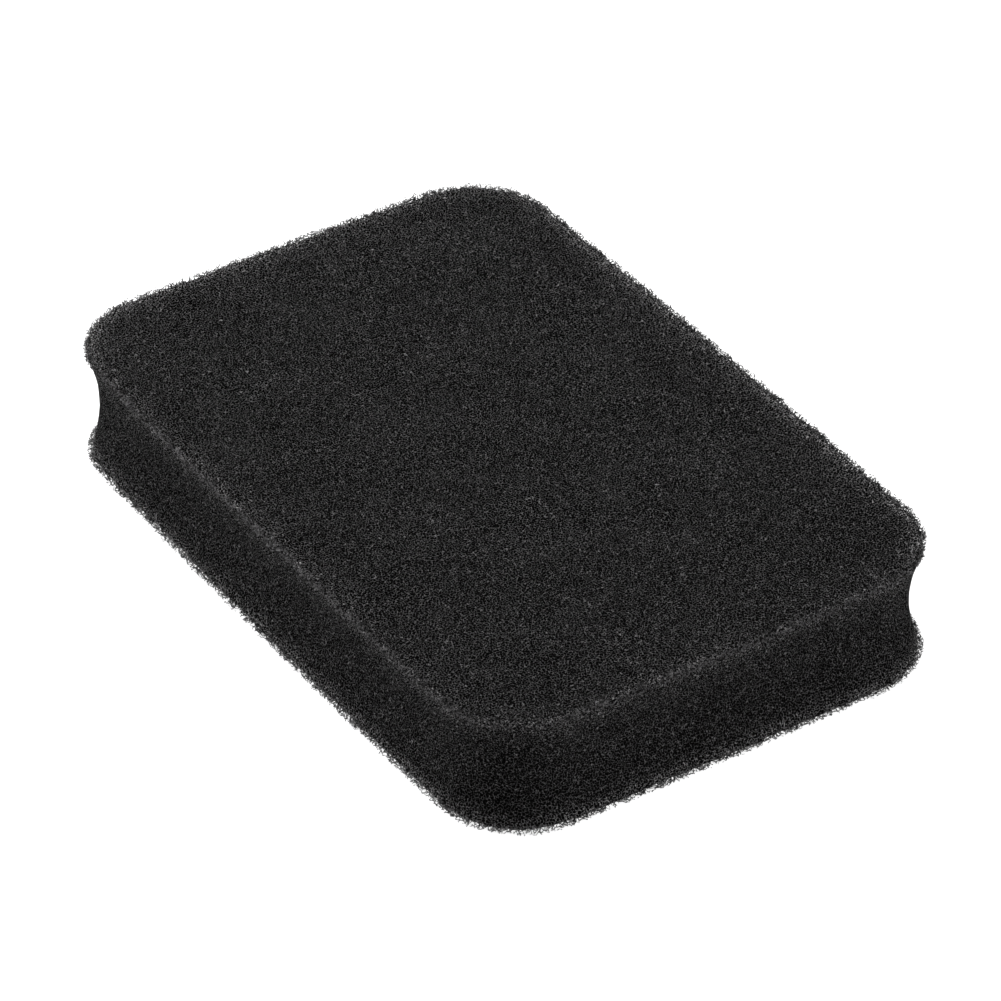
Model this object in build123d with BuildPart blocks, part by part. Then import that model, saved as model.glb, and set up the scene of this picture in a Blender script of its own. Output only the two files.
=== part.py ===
"""Foam air filter element for a small motorcycle: one block of open-cell polyurethane foam.

The block is cut from sheet stock of one thickness. In plan it is a rounded rectangle whose sides
bow out a little, and its edge is dished, because the foam is squeezed while the knife passes and
springs back afterwards. It lies flat: the origin is the centre of the lower face, X runs along
the length, Y along the width and +Z up, in millimetres.
"""

import os

from build123d import *

os.makedirs("parts", exist_ok=True)

# Plan outline
length = 156.0  # over the middle of the short sides
width = 104.0  # over the middle of the long sides
corner_radius = 17.0
long_side_bow = 1.0  # how far each long side stands out at its middle
short_side_bow = 0.5  # how far each short side stands out at its middle

# Section through the edge
thickness = 25.0  # one sheet of filter foam
waist_depth = 2.0  # how far the edge is dished at mid height
rim_land = 0.8  # upright strip that the dish leaves along each face
knife_overrun = 3.0  # how far the dish's cutter stands outside the block

# Corners of the outline before they are rounded, where the bowed sides would meet
corner_x = length / 2 - short_side_bow
corner_y = width / 2 - long_side_bow

# The dish is an arc that runs from one rim to the other
dish_height = thickness - 2 * rim_land
dish_middle = thickness / 2


with BuildSketch() as outline:
    with BuildLine():
        SagittaArc((-corner_x, -corner_y), (corner_x, -corner_y), -long_side_bow)
        SagittaArc((corner_x, -corner_y), (corner_x, corner_y), -short_side_bow)
        SagittaArc((corner_x, corner_y), (-corner_x, corner_y), -long_side_bow)
        SagittaArc((-corner_x, corner_y), (-corner_x, -corner_y), -short_side_bow)
    make_face()
    fillet(outline.vertices(), corner_radius)

# The dish's section stands upright at the middle of the front long side, square to the edge
edge_middle = (0, -width / 2, dish_middle)
section_plane = Plane(origin=edge_middle, x_dir=(0, 1, 0), z_dir=(1, 0, 0))

with BuildPart() as foam_element:
    with BuildSketch():
        add(outline.sketch)
    extrude(amount=thickness)
    with BuildSketch(section_plane) as dish:
        with BuildLine():
            lower = (0, -dish_height / 2)
            upper = (0, dish_height / 2)
            ThreePointArc(lower, (waist_depth, 0), upper)
            Polyline(
                upper,
                (-knife_overrun, dish_height / 2),
                (-knife_overrun, -dish_height / 2),
                lower,
            )
        make_face()
    sweep(path=outline.wire().moved(Location((0, 0, dish_middle))), mode=Mode.SUBTRACT)

foam_element.part.label = "foam_element"
export_step(foam_element.part, "parts/foam_element.step")
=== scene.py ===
"""Looks of the foam filter element: one block of charcoal open-cell foam lying on a pale floor.

The block is one piece. Its body is a closed mesh with softened, slightly uneven cut faces, and
along both rims, where light passes through real foam, the body is set back and the pores are
modelled strut by strut. Lengths are in metres, in the frame of the CAD model.
"""

import math

import bpy
import numpy as np
from mathutils import Matrix, Vector
from mathutils.geometry import delaunay_2d_cdt


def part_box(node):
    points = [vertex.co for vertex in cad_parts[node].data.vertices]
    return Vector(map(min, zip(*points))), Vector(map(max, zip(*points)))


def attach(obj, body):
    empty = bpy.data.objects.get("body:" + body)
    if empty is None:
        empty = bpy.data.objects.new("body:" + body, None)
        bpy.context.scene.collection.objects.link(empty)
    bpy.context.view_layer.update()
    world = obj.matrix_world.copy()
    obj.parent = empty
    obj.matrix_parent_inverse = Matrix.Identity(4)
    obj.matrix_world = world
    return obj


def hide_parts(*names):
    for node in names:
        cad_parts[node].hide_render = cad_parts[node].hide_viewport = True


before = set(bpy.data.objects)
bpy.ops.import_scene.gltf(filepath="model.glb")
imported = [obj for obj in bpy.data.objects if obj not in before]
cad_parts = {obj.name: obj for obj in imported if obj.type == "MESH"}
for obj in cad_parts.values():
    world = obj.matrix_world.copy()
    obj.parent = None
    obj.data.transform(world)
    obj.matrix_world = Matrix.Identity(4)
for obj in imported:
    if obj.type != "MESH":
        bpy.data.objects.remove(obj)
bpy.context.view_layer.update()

MM = 0.001
block_low, block_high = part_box("foam_element")
THICKNESS = block_high.z - block_low.z

# The block, with the edge's section that the CAD model has
GROWN = 0.3 * MM  # how far soft foam swells past the size it was cut to
WAIST_DEPTH = 2.0 * MM  # how far the edge is dished at mid height
RIM_LAND = 0.8 * MM  # height of the upright band above and below the dish

# The body's mesh. Where a value is a pair, the first is for the upper rim and the second for
# the lower one
SHOULDERS = (1.05 * MM, 1.25 * MM)  # how far the body is rounded back under the pores of a rim
BORDER = 6.0 * MM  # width of the border of each flat face that follows the outline
COLUMN = 1.4 * MM  # distance between the body's points along a rim
BORDER_ROWS, SHOULDER_ROWS, EDGE_ROWS = 4, 6, 12  # rows of points in each stretch of the section
FACE_SPACING = 3.0 * MM  # distance between the points inside a flat face
FACE_JITTER = 0.3  # how far they are scattered, over that distance
FACE_CLEAR = 0.8  # how far they keep from the border, over that distance
SWELLS = ((0.10 * MM, 22 * MM, 11), (0.07 * MM, 6 * MM, 12))  # unevenness: depth, length, seed
MOST_SWELL = 0.12 * MM  # how far the uneven surface stands out at most
RESTING = 0.3  # share of the unevenness on the face that the block rests on
RESTING_HEIGHT = 0.05 * MM  # points below this belong to that face

# The struts along the rims, with the same pairs
PORE = 0.88 * MM  # edge of the cube that holds two cells of the foam
STRUT = 0.088 * MM  # half the width of a strut where it joins others
STRUT_SPREAD = (0.75, 1.25)  # the thinnest and the thickest strut, over that
RIM_STEP = 0.5 * MM  # distance between the points of the rim that the struts follow
LATTICE_DEPTH = 2.5  # how far the cells go in and down, over a cube and the shoulder together
LATTICE_MARGIN = 1.5 * PORE  # how far outside the rim the cells begin
JITTER = 0.5  # scatter of the cells' corners, in quarters of a cube
BEND_DEPTH, BEND_LENGTH = 1.6, 14  # size of the slow bends of the lattice, in quarters of a cube
BEND_SEEDS = (21, 22, 23)
TILT = 0.3  # slope of the lattice against the flat faces
CUT_OUT = (0.80 * MM, 1.15 * MM)  # how far struts reach past the edge
CUT_UP = 0.50 * MM  # how far struts reach above the upper face
RAGGED = (0.60 * MM, 0.80 * MM)  # how far in from those limits some struts are missing
FACE_FADE = 0.25 * MM  # how far past the shoulder the struts go on along the faces
ROOT = 0.3 * MM  # how deep struts may start inside the body
FLOOR_GAP = 0.01 * MM  # how far above the floor the lowest struts stay

# Painted light: the foam is painted paler at the rims, for the light that soaks into it there.
# A leak is what it adds, over the colour that the foam has elsewhere, and falls off with the
# distance from the rim. It is painted, so it stays the same under any light
FACE_LEAK = (0.9, 4.6)  # on the flat faces at a dim rim and at a bright one
# painted light: rims facing this way are painted brightest, for light from behind that side
BRIGHT_SIDE = math.radians(147)  # the way that the brightest rims face, round from +X
BRIGHT_BLEND = (-0.60, -0.10)  # cosines of the angle from that way: dim below, bright above
LEAK_REACH = 1.3 * MM  # distance over which the leak on the flat faces falls to a third
EDGE_LEAK, EDGE_LEAK_REACH = 2.4, 3.4 * MM  # on the edge, down from the upper rim
# painted light at the lower rim, for the light from the floor
LOW_LEAK, LOW_LEAK_REACH = 7.0, 0.9 * MM  # on the edge, up from the lower rim
EDGE_BLEND = (0.35 * MM, 1.05 * MM)  # how far in the edge's leak gives way to the flat faces'
LEAK_STEP = 1.0 * MM  # distance between the points of the rim that the leak is measured from
CHUNK = 4000  # points measured at once, which saves memory
STRUT_SHADES = (0.15, 7.0)  # brightness of the darkest and the palest strut, over their colour
# painted light: struts are made paler at the rims, for light passing through the foam there
LOW_STRUT_GAIN = 2.8  # what that is multiplied by at the lower rim
UPPER_STRUT_GAIN = (2.0, 0.8)  # the same at the upper rim, past the edge and on the flat face
UPPER_STRUT_BLEND = (-0.1 * MM, 0.7 * MM)  # how far in from the edge the first gives way

# The texture map
SHEET = 256 * MM  # side of the square of surface that it shows
STRIPS = 3  # the edge is mapped as this many strips, side by side
MAP_GAP = 1.0 * MM  # space between neighbours on it
SEAM = 0.3  # share of a shoulder's height that is mapped with the flat face
STRUT_CELL = 0.5 * MM  # side of the square that a strut has
STRUT_SHARE = 0.8  # how much of that square the strut takes

# The pores of the body, in the material: two layers of struts, with black between them. The black
# and the deep layer's darker colour are painted shade, for the shade down in the pores
NEAR_CELL, NEAR_STRUT = 0.56 * MM, 0.11  # size of a cell, and reach of its struts in cells
DEEP_CELL, DEEP_STRUT = 0.49 * MM, 0.115
DEEP_SHIFT = (0.131, 0.057, 0.093)  # moves the deep layer, so that it doesn't match the near one
DEEP_LEVEL = 0.3  # how high the deep struts stand, over the near ones
GAP_SIZE = 0.22 * MM  # size of the patches where the near struts are missing
GAP_BLEND = (0.42, 0.52)  # noise at which none and all of them are there
# painted shade: black in the pores and darker deep struts; the near struts have the lit colour
PORE_SHADE = (0.0012, 0.0012, 0.0012, 1)
DEEP_SHADE_COLOUR = (0.0085, 0.0083, 0.0083, 1)
NEAR_COLOUR = (0.3100, 0.3044, 0.3078, 1)
DEEP_STOP = 0.4  # height that has the deep colour, with black at 0 and the near colour at 1
RELIEF = 0.18 * MM  # depth of the pores as bump
STRUT_COLOUR = (0.024, 0.0235, 0.0238)

# The stage
FLOOR_REACH = 6.0  # half the side of the floor
FLOOR_GLOW = 0.9  # the floor's own light, for the camera alone
WORLD_LIGHT = 0.25  # strength of the world as a light; for the camera it is 1
SOFTBOXES = (  # name, azimuth and elevation in degrees, distance, side, power in watts
    ("left_softbox", -45, 20, 1.6, 1.0, 18.3),
    ("right_softbox", 145, 25, 1.6, 1.0, 11.2),
    ("far_softbox", 265, 55, 0.65, 0.5, 2.6),
)
AIM = Vector((3.25, -0.88, 12.5)) * MM  # the point that the camera looks at
CAMERA_AZIMUTH, CAMERA_ELEVATION, CAMERA_ROLL = (math.radians(v) for v in (56.94, 36.5, -0.31))
CAMERA_DISTANCE = 1.078
LENS, SENSOR = 203.3, 36.0  # in millimetres, as Blender counts them

rng = np.random.default_rng(7)  # seeded, so that every run makes the same block


# The outline of the block -------------------------------------------------------------------


def evenly(points, spacing):
    """A closed line through the points, as points about that far apart."""
    closed = np.vstack([points, points[:1]])
    run = np.r_[0, np.cumsum(np.linalg.norm(np.diff(closed, axis=0), axis=1))]
    at = np.linspace(0, run[-1], round(run[-1] / spacing), endpoint=False)
    return np.stack([np.interp(at, run, closed[:, i]) for i in range(2)], axis=1)


def outline():
    """The rim of the CAD block's upper face, swollen, going round against the clock."""
    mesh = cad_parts["foam_element"].data
    points = np.array([v.co for v in mesh.vertices])
    rim = points[points[:, 2] > block_high.z - 0.01 * MM][:, :2]
    rim = np.unique(rim.round(6), axis=0)
    rim = rim[np.argsort(np.arctan2(rim[:, 1], rim[:, 0]))]
    return rim + outward(rim) * GROWN


def outward(points):
    """The unit vector square to a closed line at each of its points, pointing out."""
    along = np.roll(points, -1, axis=0) - np.roll(points, 1, axis=0)
    across = np.stack([along[:, 1], -along[:, 0]], axis=1)
    return across / np.linalg.norm(across, axis=1, keepdims=True)


def dish(height):
    """How far the edge stands back from the rims at a height."""
    from_middle = (np.asarray(height) - THICKNESS / 2) / (THICKNESS / 2 - RIM_LAND)
    return WAIST_DEPTH * np.maximum(1 - from_middle**2, 0)


# The body -----------------------------------------------------------------------------------


def waves(points, length, seed, count=40):
    """Smooth noise between about -1 and 1, from plane waves of about one length."""
    own = np.random.default_rng(seed)
    way = own.normal(size=(count, 3))
    way /= np.linalg.norm(way, axis=1, keepdims=True)
    turns = 2 * math.pi / (length * own.uniform(0.7, 1.5, count))
    phase = own.uniform(0, 2 * math.pi, count)
    return np.cos(points @ (way * turns[:, None]).T + phase).sum(axis=1) / math.sqrt(count)


def edge_section():
    """The section through the edge, from the upper face to the lower one.

    Each row is (distance in from the outline, height)."""
    top, low = SHOULDERS
    turns = np.linspace(0, math.pi / 2, SHOULDER_ROWS)
    borders = np.linspace(BORDER, top, BORDER_ROWS, endpoint=False)
    rows = [(inset, THICKNESS) for inset in borders]
    for turn in turns:
        height = THICKNESS - top * (1 - math.cos(turn))
        rows.append((top * (1 - math.sin(turn)) + dish(height), height))
    for height in np.linspace(THICKNESS - top, low, EDGE_ROWS)[1:-1]:
        rows.append((dish(height), height))
    for turn in turns:
        height = low * (1 - math.sin(turn))
        rows.append((low * (1 - math.cos(turn)) + dish(height), height))
    rows += [(inset, 0.0) for inset in borders[::-1]]
    return np.array(rows)


def inner_face(ring, spacing):
    """Fills a closed line with evenly scattered points, as points and triangles."""
    low, high = ring.min(axis=0), ring.max(axis=0)
    columns = np.arange(low[0], high[0], spacing)
    rows = np.arange(low[1], high[1], spacing * math.sqrt(0.75))
    x, y = np.meshgrid(columns, rows)
    x[1::2] += spacing / 2
    inside = np.stack([x.ravel(), y.ravel()], axis=1)
    inside += rng.uniform(-FACE_JITTER, FACE_JITTER, inside.shape) * spacing
    ring_angle = np.arctan2(ring[:, 1], ring[:, 0])
    order = np.argsort(ring_angle)
    reach = np.interp(
        np.arctan2(inside[:, 1], inside[:, 0]),
        ring_angle[order],
        np.linalg.norm(ring[order], axis=1),
        period=2 * math.pi,
    )
    inside = inside[np.linalg.norm(inside, axis=1) < reach - spacing * FACE_CLEAR]
    points = np.vstack([ring, inside])
    loop = [(i, (i + 1) % len(ring)) for i in range(len(ring))]
    made = delaunay_2d_cdt([Vector(p) for p in points / MM], loop, [], 1, 1e-6)
    assert len(made[0]) == len(points)
    return inside, np.array(made[2])


def flat_map(places, lower):
    """Where points of a flat face lie on the texture map. The lower face is mirrored."""
    half_length, half_width = block_high.x + MAP_GAP, block_high.y + MAP_GAP
    across = -places[..., 0] if lower else places[..., 0]
    up = half_width * (3 if lower else 1) + places[..., 1]
    return np.stack([half_length + across, up], axis=-1)


def edge_map(row_ways, columns, count, row, after):
    """Where the two triangles of each quad between two rows of the edge lie on the map."""
    strip = columns * STRIPS // count
    first = -(-strip * count // STRIPS)
    left = 2 * (block_high.x + MAP_GAP) + MAP_GAP + strip * (row_ways[-1] + 2 * MAP_GAP)
    low = (columns - first) * COLUMN + MAP_GAP
    a = np.stack([left + row_ways[row], low], axis=-1)
    b = a + (0, COLUMN)
    d = np.stack([left + row_ways[after], low], axis=-1)
    c = d + (0, COLUMN)
    return np.stack([a, c, b], axis=1), np.stack([a, d, c], axis=1)


def body():
    """The closed body: its points, its triangles and their corners' places on the map."""
    rim = evenly(outline(), COLUMN)
    out = outward(rim)
    section = edge_section()
    rings = [
        np.column_stack([rim - out * inset, np.full(len(rim), z)]) for inset, z in section
    ]
    n = len(rim)
    here = np.arange(n)
    after = (here + 1) % n
    points = np.vstack(rings)
    way = np.r_[0, np.cumsum(np.linalg.norm(np.diff(section, axis=0), axis=1))]
    edge_from = np.argmax(section[:, 1] < THICKNESS - SEAM * SHOULDERS[0])
    edge_to = len(section) - 1 - np.argmax(section[::-1, 1] > SEAM * SHOULDERS[1])
    edge_ways = way - way[edge_from]
    edge_ways = np.clip(edge_ways, 0, edge_ways[edge_to])

    triangles, places = [], []
    for k in range(len(rings) - 1):
        a, b, c, d = here + k * n, after + k * n, after + (k + 1) * n, here + (k + 1) * n
        pair = [np.stack([a, c, b], axis=1), np.stack([a, d, c], axis=1)]
        triangles += pair
        if edge_from <= k < edge_to:
            places += edge_map(edge_ways, here, n, k, k + 1)
        else:
            places += [flat_map(points[t], k >= edge_to) for t in pair]
    for k, z, lower in ((0, THICKNESS, False), (len(rings) - 1, 0.0, True)):
        inside, faces = inner_face(rings[k][:, :2], FACE_SPACING)
        index = np.r_[here + k * n, np.arange(len(inside)) + len(points)]
        faces = index[faces]
        points = np.vstack([points, np.column_stack([inside, np.full(len(inside), z)])])
        triangles.append(faces[:, ::-1] if lower else faces)
        places.append(flat_map(points[triangles[-1]], lower))
    return points, np.vstack(triangles), np.vstack(places)


def normals_of(points, triangles):
    """The unit normal at each point of a mesh."""
    a, b, c = (points[triangles[:, i]] for i in range(3))
    face = np.cross(b - a, c - a)
    total = np.zeros_like(points)
    for i in range(3):
        np.add.at(total, triangles[:, i], face)
    return total / np.linalg.norm(total, axis=1, keepdims=True)


def roughened(points, triangles):
    """The body with the gentle unevenness of cut foam."""
    push = sum(depth * waves(points, length, seed) for depth, length, seed in SWELLS)
    push = np.minimum(push, MOST_SWELL)
    push[points[:, 2] < RESTING_HEIGHT] *= RESTING
    moved = points + normals_of(points, triangles) * push[:, None]
    moved[:, 2] = np.maximum(moved[:, 2], 0.0)
    return moved


def light_leak(points):
    """Painted light: how much paler the foam is made at each point, for light soaking in at rims.
    """
    rim = evenly(outline(), LEAK_STEP)
    out = outward(rim)
    face_leak = np.interp(
        out @ [math.cos(BRIGHT_SIDE), math.sin(BRIGHT_SIDE)], BRIGHT_BLEND, FACE_LEAK
    )
    inset = np.zeros(len(points))
    face = np.zeros(len(points))
    for start in range(0, len(points), CHUNK):
        some = slice(start, start + CHUNK)
        gap = points[some, None, :2] - rim[None]
        near = np.argmin((gap**2).sum(axis=2), axis=1)
        face[some] = face_leak[near]
        inset[some] = -(gap[np.arange(len(near)), near] * out[near]).sum(axis=1)
    height = points[:, 2]
    from_rim = np.hypot(np.maximum(inset, 0), np.minimum(height, THICKNESS - height))
    face *= np.exp(-from_rim / LEAK_REACH)
    edge = EDGE_LEAK * np.exp((height - THICKNESS) / EDGE_LEAK_REACH)
    edge += LOW_LEAK * np.exp(-height / LOW_LEAK_REACH)
    on_edge = np.interp(inset - dish(height), EDGE_BLEND, (1, 0))
    return face * (1 - on_edge) + edge * on_edge


# The pores along the rims -------------------------------------------------------------------


def cell_edges(size):
    """The edges of a packing of foam cells, truncated octahedra, in a box.

    size is the box in units of a quarter of PORE, along the rim, inwards and upwards.
    The corners of the cells lie on whole units. Returns the corners and pairs of their
    indices."""
    first = [(1, 0, 2), (3, 0, 2), (2, 1, 0), (2, 3, 0), (0, 2, 1), (0, 2, 3)]
    number = np.full(size, -1)
    for corner in first:
        for shift in (0, 2):
            x, y, z = ((c + shift) % 4 for c in corner)
            number[x::4, y::4, z::4] = 0
    corners = np.argwhere(number == 0)
    number[tuple(corners.T)] = np.arange(len(corners))
    pairs = []
    for step in ((1, 1, 0), (1, -1, 0), (1, 0, 1), (1, 0, -1), (0, 1, 1), (0, 1, -1)):
        other = corners + step
        held = np.all((other >= 0) & (other < size), axis=1)
        found = number[tuple(other[held].T)]
        start = np.flatnonzero(held)[found >= 0]
        pairs.append(np.stack([start, found[found >= 0]], axis=1))
    return corners.astype(float), np.vstack(pairs)


def bent_cells(around, shoulder):
    """The foam cells along a rim, before they are cut to the space between it and the body.

    Returns how far each corner lies along the rim, in from it and away from the flat face, and
    the pairs of corners that a strut joins."""
    unit = PORE / 4
    depth = int(LATTICE_DEPTH * (PORE + shoulder) / unit)
    corners, pairs = cell_edges((int(around / unit), depth, depth))
    corners += rng.normal(scale=JITTER, size=corners.shape)
    # Real cells don't line up, so slow random bends keep rows of them off the rims
    bends = [waves(corners, BEND_LENGTH, seed) for seed in BEND_SEEDS]
    corners += BEND_DEPTH * np.stack(bends, axis=1)
    along = corners[:, 0] * unit
    inset = corners[:, 1] * unit - LATTICE_MARGIN
    down = corners[:, 2] * unit - LATTICE_MARGIN
    return along, inset + TILT * down, down - TILT * inset, pairs


def beside(rim, along, inset, height):
    """The points at these distances along a closed line and in from it, at these heights."""
    out = outward(rim)
    step = along / RIM_STEP
    low = np.floor(step).astype(int)
    share = (step - low)[:, None]
    low %= len(rim)
    high = (low + 1) % len(rim)
    spot = rim[low] * (1 - share) + rim[high] * share
    way = out[low] * (1 - share) + out[high] * share
    return np.column_stack([spot - way * inset[:, None], height])


def rim_struts(upper):
    """The struts in the corner between a rim and the body's shoulder.

    Returns where each starts, where it ends, and what its brightness is multiplied by: painted
    light."""
    shoulder, cut_out, ragged = (pair[0 if upper else 1] for pair in (SHOULDERS, CUT_OUT, RAGGED))
    rim = evenly(outline(), RIM_STEP)
    along, inset, down, pairs = bent_cells(len(rim) * RIM_STEP, shoulder)

    edge = dish(np.clip(down, 0, THICKNESS))
    in_side, in_face = shoulder + edge - inset, shoulder - down
    proud = np.hypot(np.maximum(in_side, 0), np.maximum(in_face, 0)) - shoulder
    off_corner = np.maximum(-np.minimum(in_side, in_face), 0)
    spare = cut_out - (edge - inset)
    if upper:
        spare = np.minimum(spare, CUT_UP + down)
    held = (proud > -ROOT) & (spare > 0) & (upper | (down > 0))
    pairs = pairs[held[pairs].all(axis=1) & (proud[pairs] > 0).any(axis=1)]
    chance = 1 - off_corner[pairs].mean(axis=1) / FACE_FADE
    chance *= np.minimum(spare[pairs].mean(axis=1) / ragged, 1)
    pairs = pairs[rng.uniform(size=len(pairs)) < chance]

    places = beside(rim, along, inset, THICKNESS - down if upper else down)
    gain = np.full(len(pairs), LOW_STRUT_GAIN)
    if upper:
        gain = np.interp((inset - edge)[pairs].mean(axis=1), UPPER_STRUT_BLEND, UPPER_STRUT_GAIN)
    return places[pairs[:, 0]], places[pairs[:, 1]], gain


def strut_mesh(start, end):
    """Each strut as a slender closed body, wide at both ends, as points and triangles."""
    along = end - start
    along /= np.linalg.norm(along, axis=1, keepdims=True)
    side = np.cross(along, rng.normal(size=along.shape))
    side /= np.linalg.norm(side, axis=1, keepdims=True)
    other = np.cross(along, side)
    half = STRUT * rng.uniform(*STRUT_SPREAD, (len(start), 1))
    points = np.stack(
        [start + side * half, start - side * half, end + other * half, end - other * half],
        axis=1,
    )
    points[:, :, 2] = np.maximum(points[:, :, 2], FLOOR_GAP)
    faces = np.array([(0, 1, 2), (0, 2, 3), (0, 3, 1), (1, 3, 2)])
    triangles = np.arange(len(start))[:, None, None] * 4 + faces
    return points.reshape(-1, 3), triangles.reshape(-1, 3)


def strut_map(triangles):
    """A small square of the map for each strut, in the rows above the two flat faces."""
    low = 4 * (block_high.y + MAP_GAP) + MAP_GAP
    columns = int(SHEET / STRUT_CELL) - 2
    strut = triangles[:, 0] // 4
    spot = np.stack([strut % columns + 1, strut // columns], axis=-1)
    corner = spot * STRUT_CELL + (0, low)
    steps = STRUT_SHARE * STRUT_CELL * np.array([(0, 0), (1, 1), (1, 0), (0, 1)])
    return corner[:, None] + steps[triangles % 4]


# Materials ----------------------------------------------------------------------------------


def nodes_of(name):
    """A new node material: its tree, its Principled node and a function that adds nodes."""
    material = bpy.data.materials.new(name)
    material.use_nodes = True
    tree = material.node_tree
    shader = tree.nodes["Principled BSDF"]

    def add(kind, links=(), **values):
        node = tree.nodes.new(kind)
        for key, value in values.items():
            setattr(node, key, value)
        for socket, source in dict(links).items():
            if isinstance(source, bpy.types.NodeSocket):
                tree.links.new(source, node.inputs[socket])
            else:
                node.inputs[socket].default_value = source
        return node

    return material, tree, shader, add


def web(add, place, cell, reach, shift=(0, 0, 0)):
    """The struts that a cut through foam shows: 1 on a strut and 0 in a pore."""
    moved = add("ShaderNodeVectorMath", {0: place, 1: shift}, operation="ADD")
    cells = add(
        "ShaderNodeTexVoronoi",
        {"Vector": moved.outputs[0], "Scale": 1 / cell},
        feature="DISTANCE_TO_EDGE",
    )
    strut = {"From Min": 0.0, "From Max": reach, "To Min": 1.0, "To Max": 0.0}
    return add(
        "ShaderNodeMapRange",
        {"Value": cells.outputs["Distance"], **strut},
        interpolation_type="SMOOTHSTEP",
    ).outputs[0]


def brighten(add, tree, colour, shader):
    """Gives the shader a colour, made paler by painted light at the rims and, on struts, by their
    tone.
    """
    leak = add("ShaderNodeAttribute", attribute_name="light_leak").outputs["Fac"]
    gain = add("ShaderNodeMath", {0: leak, 1: 1.0}, operation="ADD").outputs[0]
    paler = add("ShaderNodeVectorMath", {0: colour, "Scale": gain}, operation="SCALE")
    tree.links.new(paler.outputs[0], shader.inputs["Base Color"])


def foam_material():
    """Cut open-cell foam: pale lit struts, darker deep ones and black pores, as painted shade."""
    material, tree, shader, add = nodes_of("foam_cells")
    place = add("ShaderNodeTexCoord").outputs["Object"]
    near = web(add, place, NEAR_CELL, NEAR_STRUT)
    deep = web(add, place, DEEP_CELL, DEEP_STRUT, DEEP_SHIFT)
    patches = add("ShaderNodeTexNoise", {"Vector": place, "Scale": 1 / GAP_SIZE, "Detail": 1.0})
    gate = add(
        "ShaderNodeMapRange",
        {"Value": patches.outputs["Fac"], "From Min": GAP_BLEND[0], "From Max": GAP_BLEND[1]},
    ).outputs[0]
    top = add("ShaderNodeMath", {0: near, 1: gate}, operation="MULTIPLY").outputs[0]
    under = add("ShaderNodeMath", {0: deep, 1: DEEP_LEVEL}, operation="MULTIPLY").outputs[0]
    relief = add("ShaderNodeMath", {0: top, 1: under}, operation="MAXIMUM").outputs[0]

    # painted shade: from black in the pores through the darker deep struts to the lit near ones
    ramp = add("ShaderNodeValToRGB", {"Fac": relief})
    stops = ramp.color_ramp.elements
    stops[0].position, stops[0].color = 0.0, PORE_SHADE
    stops[1].position, stops[1].color = 1.0, NEAR_COLOUR
    stops.new(DEEP_STOP).color = DEEP_SHADE_COLOUR
    brighten(add, tree, ramp.outputs["Color"], shader)

    bump = add("ShaderNodeBump", {"Height": relief, "Strength": 0.8, "Distance": RELIEF})
    tree.links.new(bump.outputs["Normal"], shader.inputs["Normal"])
    shader.inputs["Roughness"].default_value = 0.6
    shader.inputs["Specular IOR Level"].default_value = 0.0
    return material


def strut_material():
    """One strut of the same foam, paler or darker at random, and paler by painted light at rims.
    """
    material, tree, shader, add = nodes_of("foam_struts")
    brighten(add, tree, STRUT_COLOUR, shader)
    shader.inputs["Roughness"].default_value = 0.6
    shader.inputs["Specular IOR Level"].default_value = 0.03
    return material


def floor_material():
    """A pale matt sweep, pure white for the camera alone, so that it lights the foam softly."""
    material, tree, shader, add = nodes_of("pale_floor")
    shader.inputs["Base Color"].default_value = (0.55, 0.55, 0.55, 1)
    shader.inputs["Roughness"].default_value = 0.9
    shader.inputs["Specular IOR Level"].default_value = 0.0
    shader.inputs["Emission Color"].default_value = (1, 1, 1, 1)
    seen = add("ShaderNodeLightPath").outputs["Is Camera Ray"]
    glow = add("ShaderNodeMath", {0: seen, 1: FLOOR_GLOW}, operation="MULTIPLY").outputs[0]
    tree.links.new(glow, shader.inputs["Emission Strength"])
    return material


# The piece ----------------------------------------------------------------------------------


def make_element():
    """The foam element: its body and the struts of both rims, in one mesh."""
    points, triangles, places = body()
    body_points, body_triangles = len(points), len(triangles)
    points = roughened(points, triangles)
    both_rims = zip(rim_struts(upper=True), rim_struts(upper=False))
    start, end, gain = (np.concatenate(pair) for pair in both_rims)
    strut_points, strut_triangles = strut_mesh(start, end)
    points = np.vstack([points, strut_points])
    triangles = np.vstack([triangles, strut_triangles + body_points])
    places = np.vstack([places, strut_map(strut_triangles)])

    mesh = bpy.data.meshes.new("filter_foam")
    mesh.from_pydata(points.tolist(), [], triangles.tolist())
    mesh.materials.append(foam_material())
    mesh.materials.append(strut_material())
    slots = (np.arange(len(triangles)) >= body_triangles).astype(np.int32)
    mesh.polygons.foreach_set("material_index", slots)
    mesh.polygons.foreach_set("use_smooth", slots == 0)
    leak = np.zeros(len(points), dtype=np.float32)
    leak[:body_points] = light_leak(points[:body_points])
    # each strut's own random tone, times the painted light at its rim
    darkest, palest = STRUT_SHADES
    shade = darkest + (palest - darkest) * rng.uniform(size=len(start)) ** 2
    leak[body_points:] = np.repeat(shade * gain, 4) - 1
    mesh.attributes.new("light_leak", "FLOAT", "POINT").data.foreach_set("value", leak)
    uv_map = mesh.uv_layers.new(name="OFBake")
    uv_map.uv.foreach_set("vector", (places / SHEET).astype(np.float32).ravel())
    mesh.update()
    piece = bpy.data.objects.new("filter_foam", mesh)
    bpy.context.collection.objects.link(piece)
    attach(piece, "root")
    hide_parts("foam_element")


# The stage ----------------------------------------------------------------------------------


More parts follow.
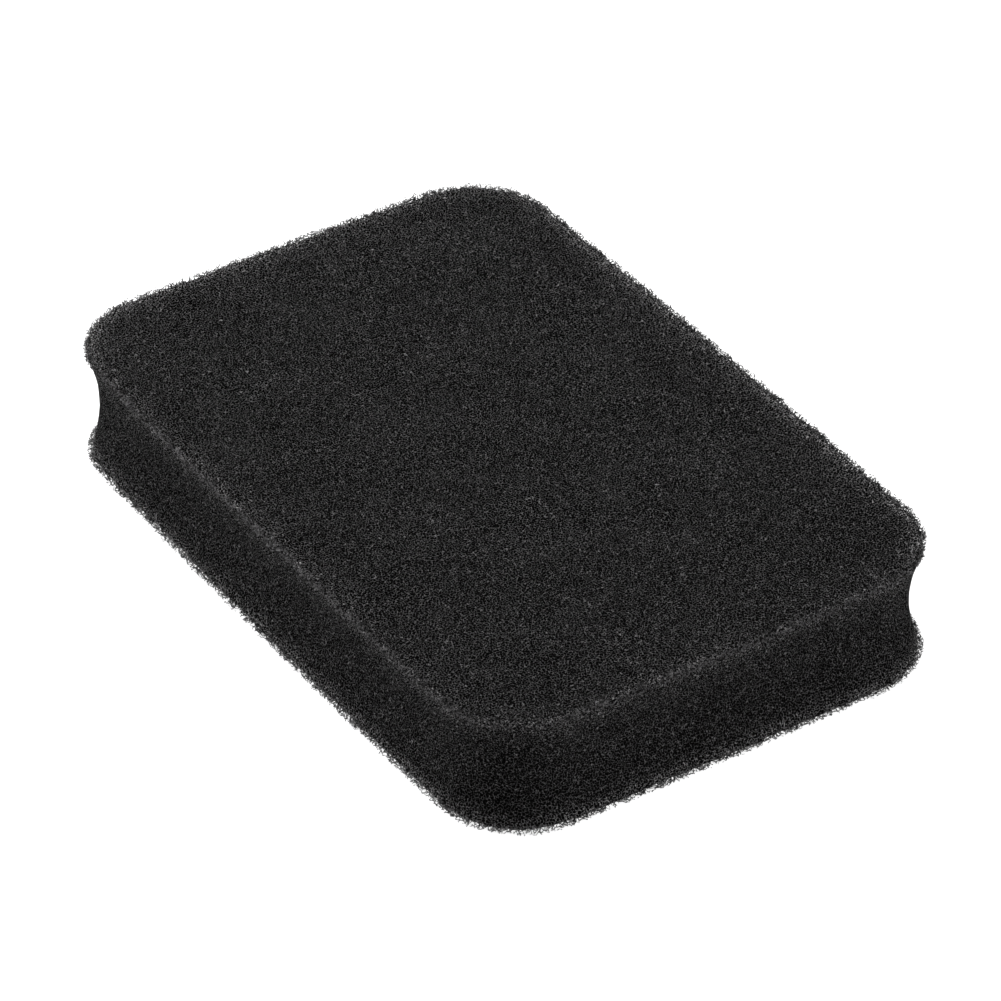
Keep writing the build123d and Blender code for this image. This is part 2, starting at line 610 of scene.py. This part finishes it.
def make_floor():
    """A square of floor under the block, far wider than the view."""
    mesh = bpy.data.meshes.new("floor")
    sides = ((-1, -1), (1, -1), (1, 1), (-1, 1))
    corners = [(x * FLOOR_REACH, y * FLOOR_REACH, 0) for x, y in sides]
    mesh.from_pydata(corners, [], [(0, 1, 2, 3)])
    mesh.materials.append(floor_material())
    floor = bpy.data.objects.new("floor", mesh)
    bpy.context.collection.objects.link(floor)


def make_world():
    """Plain white all round, dimmed as a light."""
    world = bpy.data.worlds.new("studio")
    bpy.context.scene.world = world
    world.use_nodes = True
    tree = world.node_tree
    back = tree.nodes["Background"]
    back.inputs["Color"].default_value = (1, 1, 1, 1)
    seen = tree.nodes.new("ShaderNodeLightPath")
    strength = tree.nodes.new("ShaderNodeMapRange")
    strength.inputs["To Min"].default_value = WORLD_LIGHT
    strength.inputs["To Max"].default_value = 1.0
    tree.links.new(seen.outputs["Is Camera Ray"], strength.inputs["Value"])
    tree.links.new(strength.outputs[0], back.inputs["Strength"])


def facing(azimuth, elevation):
    """The unit vector from the block towards a viewer, round from the front and up."""
    level = math.cos(elevation)
    return Vector((math.sin(azimuth) * level, -math.cos(azimuth) * level, math.sin(elevation)))


def softbox(name, azimuth, elevation, distance, size, power):
    """A square area light that faces the block."""
    way = facing(math.radians(azimuth), math.radians(elevation))
    data = bpy.data.lights.new(name, "AREA")
    data.shape, data.size, data.energy = "SQUARE", size, power
    lamp = bpy.data.objects.new(name, data)
    bpy.context.collection.objects.link(lamp)
    lamp.location = way * distance
    lamp.rotation_euler = way.to_track_quat("Z", "Y").to_euler()
    lamp.visible_camera = False


def make_camera():
    """A long lens from the front right, above."""
    back = facing(CAMERA_AZIMUTH, CAMERA_ELEVATION)
    data = bpy.data.cameras.new("camera")
    data.lens, data.sensor_width = LENS, SENSOR
    camera = bpy.data.objects.new("camera", data)
    bpy.context.collection.objects.link(camera)
    camera.location = AIM + back * CAMERA_DISTANCE
    turn = (-back).to_track_quat("-Z", "Y").to_matrix().to_4x4()
    camera.rotation_euler = (turn @ Matrix.Rotation(CAMERA_ROLL, 4, "Z")).to_euler()
    data.clip_start, data.clip_end = 0.05, 50
    bpy.context.scene.camera = camera


make_element()
make_floor()
make_world()
for settings in SOFTBOXES:
    softbox(*settings)
make_camera()
bpy.context.scene.view_settings.view_transform = "Standard"
